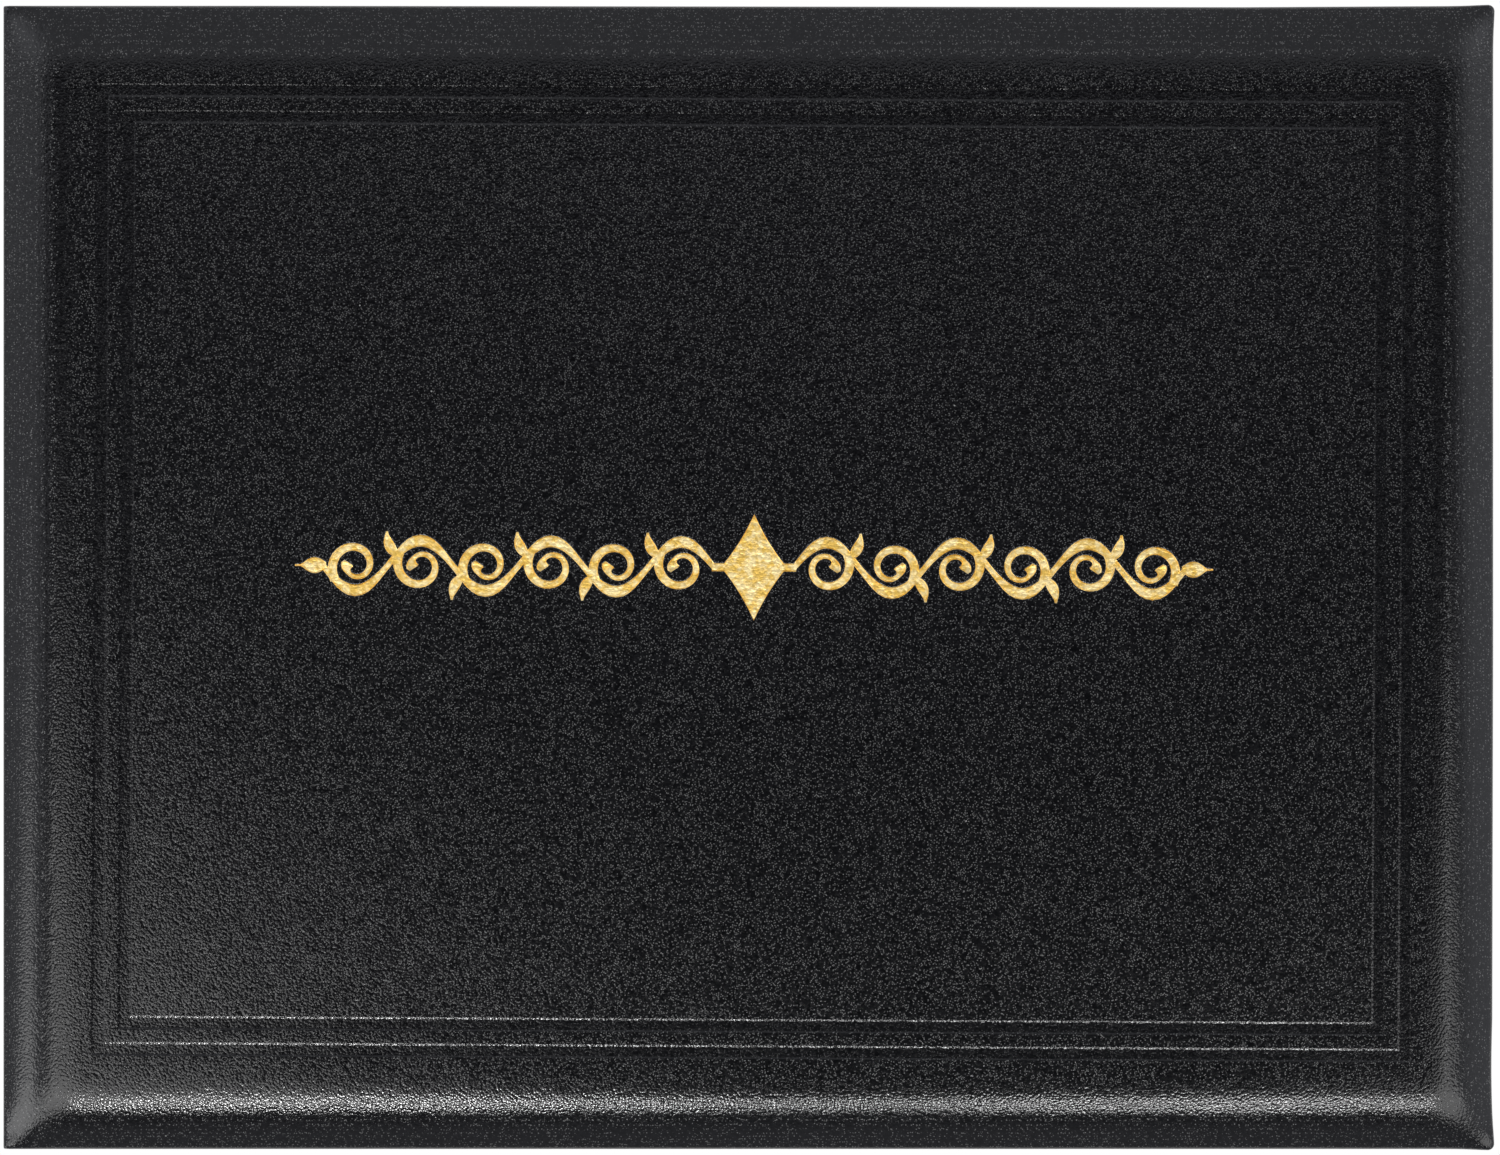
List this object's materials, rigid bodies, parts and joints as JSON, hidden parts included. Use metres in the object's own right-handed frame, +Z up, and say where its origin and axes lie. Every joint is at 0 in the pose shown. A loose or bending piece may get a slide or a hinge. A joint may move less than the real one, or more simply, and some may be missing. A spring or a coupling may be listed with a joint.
{
  "type": "diploma cover",
  "caption": "Padded turned-edge diploma cover that opens like a book, with a double frame and a gold ornament stamped on its front.",
  "frame": {"origin": "middle of the underside of the closed cover, lying on its back", "axes": "+X from the spine to the fore-edge, +Y from tail to head, +Z up through the closed cover, out of the padded front"},
  "size_m": [0.298, 0.2286, 0.0139],
  "materials": {
    "leatherette": "fine pebble grain, satin black",
    "greyboard": "raw grey board",
    "foam": "soft white foam",
    "panel_card": "raw card",
    "moire": "off-white moire taffeta",
    "clear_film": "clear film",
    "satin_ribbon": "off-white satin ribbon",
    "gold_foil": "satin gold hot foil"
  },
  "bodies": {
    "back_cover": {"back_leatherette": "leatherette", "back_board": "greyboard", "back_hinge_lining": "leatherette", "back_panel_card": "panel_card", "back_panel_moire": "moire", "clear_sheet": "clear_film", "ribbon_tail_spine": "satin_ribbon", "ribbon_head_spine": "satin_ribbon", "ribbon_tail_edge": "satin_ribbon", "ribbon_head_edge": "satin_ribbon"},
    "spine": {"spine_leatherette": "leatherette", "spine_lining": "leatherette"},
    "front_cover": {"front_panel_moire": "moire", "front_panel_card": "panel_card", "front_hinge_lining": "leatherette", "front_board": "greyboard", "foam_pad": "foam", "front_leatherette": "leatherette", "gold_ornament": "gold_foil"}
  },
  "joints": [
    {"name": "back_crease", "type": "hinge", "parent": "back_cover", "child": "spine", "pos_m": [-0.1481, 0, 0.0003], "axis": [0, -1, 0], "range_deg": [0, 64.5]},
    {"name": "front_crease", "type": "hinge", "parent": "spine", "child": "front_cover", "pos_m": [-0.1481, 0, 0.0096], "axis": [0, -1, 0], "range_deg": [0, 115.5]}
  ],
  "couplings": [
    {"joint": "back_crease", "follows": "front_crease", "ratio": 0.55844}
  ]
}
